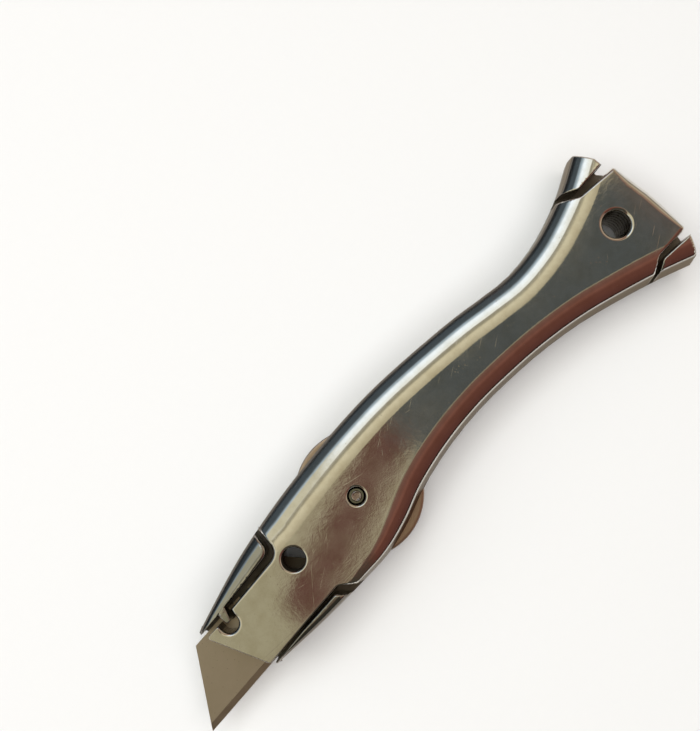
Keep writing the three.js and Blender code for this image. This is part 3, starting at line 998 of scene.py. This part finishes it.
def ground_steel(name, housing_shade):
    """Blade steel: matte, ground across its length, oily, and painted near black with shade where
    it lies inside the body.
    """
    n = Nodes(name)
    film = n.noise(0.16, 4, 0.6)
    lines = n.noise(1.0, 3, 0.6, n.mapping((9000, 260, 400), BLADE_TILT))
    specks = n.fade(n.dots(0.7), 0.05, 0.12)
    # painted shade: the blade is darkened from the front hole back, where it lies inside the body
    inside_body = n.ramp(n.axis(n.millimetres, "X"), BLADE_BOX[0].x + 30, BLADE_BOX[0].x + 38)
    colour = n.blend(film, (0.60, 0.54, 0.45), (0.75, 0.67, 0.56))
    colour = n.blend(n.times(specks, 0.35), colour, (0.2, 0.16, 0.11))
    colour = n.blend(n.times(inside_body, housing_shade), colour, (0.045, 0.038, 0.03))
    roughness = n.math("ADD", n.ramp(film, 0.3, 0.7, 0.34, 0.46), n.times(lines, 0.08))
    return n.finish(colour, roughness, n.bump(lines, 0.004))


def guard_metal():
    """The round guard: tarnish over a brown flat top, a painted reflection of the warm light
    overhead, and a dark grey side that is painted shade.
    """
    n = Nodes("guard_metal")
    tarnish = n.noise(0.8, 4)
    grain = n.noise(6.0, 3)
    facing = n.axis(n.node("ShaderNodeNewGeometry").outputs["Normal"], "Z")
    brown = n.blend(tarnish, (0.72, 0.57, 0.46), (0.62, 0.49, 0.39))
    grey = n.blend(tarnish, (0.22, 0.20, 0.18), (0.15, 0.14, 0.125))
    # brown where the face looks up and grey where it looks sideways: painted reflection on the
    # top, painted shade on the side
    colour = n.blend(n.ramp(facing, 0.45, 0.85), grey, brown)
    return n.finish(colour, n.ramp(grain, 0.3, 0.7, 0.29, 0.46), n.bump(grain, 0.006))


def turned_steel(name, clean, tarnished, rough):
    """Rivet, washer, wire and bores: fine grain and a little tarnish."""
    n = Nodes(name)
    colour = n.blend(n.noise(0.8, 4), clean, tarnished)
    grain = n.noise(6.0, 3)
    roughness = n.ramp(grain, 0.3, 0.7, rough * 0.8, rough * 1.3)
    return n.finish(colour, roughness, n.bump(grain, 0.006))


def paper():
    """The pale ground that the knife lies on."""
    n = Nodes("pale_floor")
    grain = n.noise(0.4, 3)
    colour = n.blend(grain, (0.84, 0.86, 0.875), (0.85, 0.87, 0.885))
    n.set(n.shader.inputs["Specular IOR Level"], 0.0)
    return n.finish(colour, 0.9, n.bump(grain, 0.02), metallic=0.0)


# ---------------- surroundings
BLACK, WHITE = (0, 0, 0), (1, 1, 1)


class Sky(Graph):
    """Colours each direction of the world by its angles."""

    def angle(self, direction, axis):
        """Degrees from straight up towards an axis."""
        turn = self.math("ARCTAN2", self.axis(direction, axis), self.axis(direction, "Z"))
        return self.math("DEGREES", turn)

    def bands(self, value, low, high, stops):
        """Colours that follow a value from low to high, given as (place, colour) stops."""
        made = self.node("ShaderNodeValToRGB")
        self.set(made.inputs["Fac"], self.ramp(value, low, high))
        elements = made.color_ramp.elements
        made.color_ramp.interpolation = "EASE"
        while len(elements) < len(stops):
            elements.new(0.5)
        for element, (place, colour) in zip(elements, stops):
            element.position = (place - low) / (high - low)
            element.color = (*colour, 1)
        return made.outputs["Color"]

    def window(self, value, centre, inner, outer):
        """1 where a value is nearer the centre than inner, falling to 0 at outer."""
        away = self.math("ABSOLUTE", self.math("SUBTRACT", value, centre))
        return self.fade(away, inner, outer, "SMOOTHSTEP")


def overhead(sky, across, along):
    """What the flat faces mirror: khaki, a brown streak, a dark flag, pale past the tail."""
    colours = sky.bands(along, -90, 90, [
        (-90, (0.30, 0.28, 0.24)), (-40, (0.36, 0.34, 0.25)), (-10, (0.40, 0.365, 0.24)),
        (0, (0.42, 0.37, 0.25)), (24, (0.25, 0.21, 0.16)), (32, (0.22, 0.14, 0.105)),
        (55, (0.42, 0.35, 0.29)), (90, (0.60, 0.57, 0.53)),
    ])
    slanting = sky.math("SUBTRACT", across, sky.times(along, 0.33))
    streak = sky.times(sky.window(slanting, -0.45, 1.15, 1.6), sky.window(along, -2.6, 5.0, 7.0))
    colours = sky.blend(streak, colours, (0.125, 0.055, 0.043))
    return sky.blend(sky.window(along, 15.5, 11.6, 13.8), colours, (0.084, 0.092, 0.090))


def sides(sky, across):
    """What the flanks mirror: warm and dim on the edge side, bright, then dark on the back."""
    return sky.bands(across, -90, 90, [
        (-90, (0.02, 0.014, 0.012)), (-72, (0.11, 0.042, 0.033)), (-30, (0.14, 0.052, 0.037)),
        (-19, (0.21, 0.085, 0.06)), (-14, (0.18, 0.08, 0.06)), (-7, (0.19, 0.10, 0.075)),
        (-5.5, (0.30, 0.26, 0.18)), (-3, (0.34, 0.31, 0.21)),
        (2, (0.52, 0.46, 0.31)), (13, (0.74, 0.67, 0.47)), (15.5, (0.36, 0.33, 0.23)),
        (18, (0.36, 0.33, 0.25)), (20.5, (1.02, 1.04, 0.98)), (35, (1.12, 1.22, 1.30)),
        (43, (0.42, 0.52, 0.60)), (53, (0.070, 0.087, 0.100)), (90, (0.055, 0.07, 0.085)),
    ])


def past_the_ends(sky, room, across, ahead):
    """The room with its dark and pale corners past the nose, and the wall past the tail."""
    for centre, inner, outer, reach, fall, colour in (
        (-50.0, 38.0, 44.0, 0.41, 0.48, (0.052, 0.048, 0.036)),
        (30.0, 8.0, 14.0, 0.40, 0.49, (0.66, 0.62, 0.46)),
    ):
        corner = sky.times(sky.window(across, centre, inner, outer),
                           sky.window(ahead, -0.5, reach, fall))
        room = sky.blend(corner, room, colour)
    wall = sky.bands(ahead, 0, 1, [
        (0.30, (0.16, 0.09, 0.07)), (0.55, (0.30, 0.19, 0.14)), (0.80, (0.50, 0.40, 0.28)),
        (1.0, (0.30, 0.27, 0.22)),
    ])
    return sky.blend(sky.bands(ahead, 0, 1, [(0.34, BLACK), (0.42, WHITE)]), room, wall)


def world():
    """A soft studio: bright on the back side, warm and dim on the edge side."""
    made = bpy.data.worlds.new("studio")
    bpy.context.scene.world = made
    made.use_nodes = True
    sky = Sky(made.node_tree)
    direction = sky.node("ShaderNodeTexCoord").outputs["Generated"]
    across, along = sky.angle(direction, "Y"), sky.angle(direction, "X")
    off_centre = sky.bands(across, -10, 10, [
        (-10, WHITE), (-4.6, WHITE), (-3.9, BLACK), (1.4, BLACK), (2.3, WHITE), (10, WHITE),
    ])
    room = sky.blend(off_centre, overhead(sky, across, along), sides(sky, across))
    room = past_the_ends(sky, room, across, sky.axis(direction, "X"))
    seen = sky.node("ShaderNodeLightPath").outputs["Is Camera Ray"]
    background = sky.tree.nodes["Background"]
    sky.set(background.inputs["Color"], sky.blend(seen, room, (0.90, 0.90, 0.89)))
    sky.set(background.inputs["Strength"], 1.0)


def lights():
    """Wide soft lamps overhead that light the floor and the matte parts."""
    for name, place, size, power in (
        ("overhead_lamp", (0.0, 0.0, 0.9), 1.3, 9.2),
        ("side_lamp", (-0.5, 0.6, 0.7), 0.9, 3.1),
    ):
        data = bpy.data.lights.new(name, "AREA")
        data.shape = "SQUARE"
        data.size = size
        data.energy = power
        lamp = bpy.data.objects.new(name, data)
        bpy.context.scene.collection.objects.link(lamp)
        lamp.location = place
        lamp.rotation_mode = "QUATERNION"
        lamp.rotation_quaternion = (-Vector(place)).to_track_quat("-Z", "Y")
        lamp.visible_glossy = False


def floor():
    """A wide ground, a hair under the knife."""
    reach, drop = 3.0, 0.0002
    mesh = bpy.data.meshes.new("floor")
    corners = [(-reach, -reach, 0), (reach, -reach, 0), (reach, reach, 0), (-reach, reach, 0)]
    mesh.from_pydata(corners, [], [(0, 1, 2, 3)])
    mesh.materials.append(paper())
    made = bpy.data.objects.new("floor", mesh)
    bpy.context.scene.collection.objects.link(made)
    made.location.z = -drop


def camera():
    """Above the knife, a little nearer its nose, with the tail towards the upper right."""
    origin = Vector((ORIGIN.x, ORIGIN.y, 0))
    place = origin + Vector(CAMERA_PLACE)
    forward = (origin + Vector(CAMERA_AIM) - place).normalized()
    uphill = Vector((math.cos(CAMERA_LEAN), math.sin(CAMERA_LEAN), 0))
    right = forward.cross(uphill).normalized()
    up = right.cross(forward)
    data = bpy.data.cameras.new("camera")
    data.sensor_width = 36.0
    data.lens = CAMERA_LENS
    data.clip_start = 0.01
    made = bpy.data.objects.new("camera", data)
    bpy.context.scene.collection.objects.link(made)
    turned = Matrix((right, up, -forward)).transposed().to_4x4()
    made.matrix_world = Matrix.Translation(place * MM) @ turned
    bpy.context.scene.camera = made


# ---------------- assembly
hidden_finish = [
    shaded_raw_casting(),
    turned_steel("bore_metal", (0.50, 0.47, 0.42), (0.28, 0.26, 0.23), 0.26),
    guard_metal(),
]
# The number after each plate sets how far its nose is painted a darker grey, a painted dark
# reflection.
cover_casting([plated_casting("cover_plate", 0.0), *hidden_finish])
base_casting([plated_casting("base_plate", 0.8), *hidden_finish])
rivet(turned_steel("pin_steel", (0.74, 0.69, 0.66), (0.60, 0.55, 0.52), 0.1))
# The washer's dark olive is partly painted shade of the deep cup it sits in.
washer(turned_steel("washer_steel", (0.36, 0.38, 0.31), (0.24, 0.26, 0.21), 0.3))
spring(turned_steel("spring_steel", (0.42, 0.42, 0.41), (0.30, 0.29, 0.28), 0.3))
# the second number sets how dark the painted shade over the blade inside the body is
used_blade, new_blade = ground_steel("used_blade", 0.92), ground_steel("new_blade", 0.1)
for name, node in frame["nodes"].items():
    if "blade" in name:
        node.data.materials.clear()
        node.data.materials.append(new_blade if "spare" in name else used_blade)

world()
lights()
floor()
camera()
bpy.context.scene.view_settings.view_transform = "Standard"
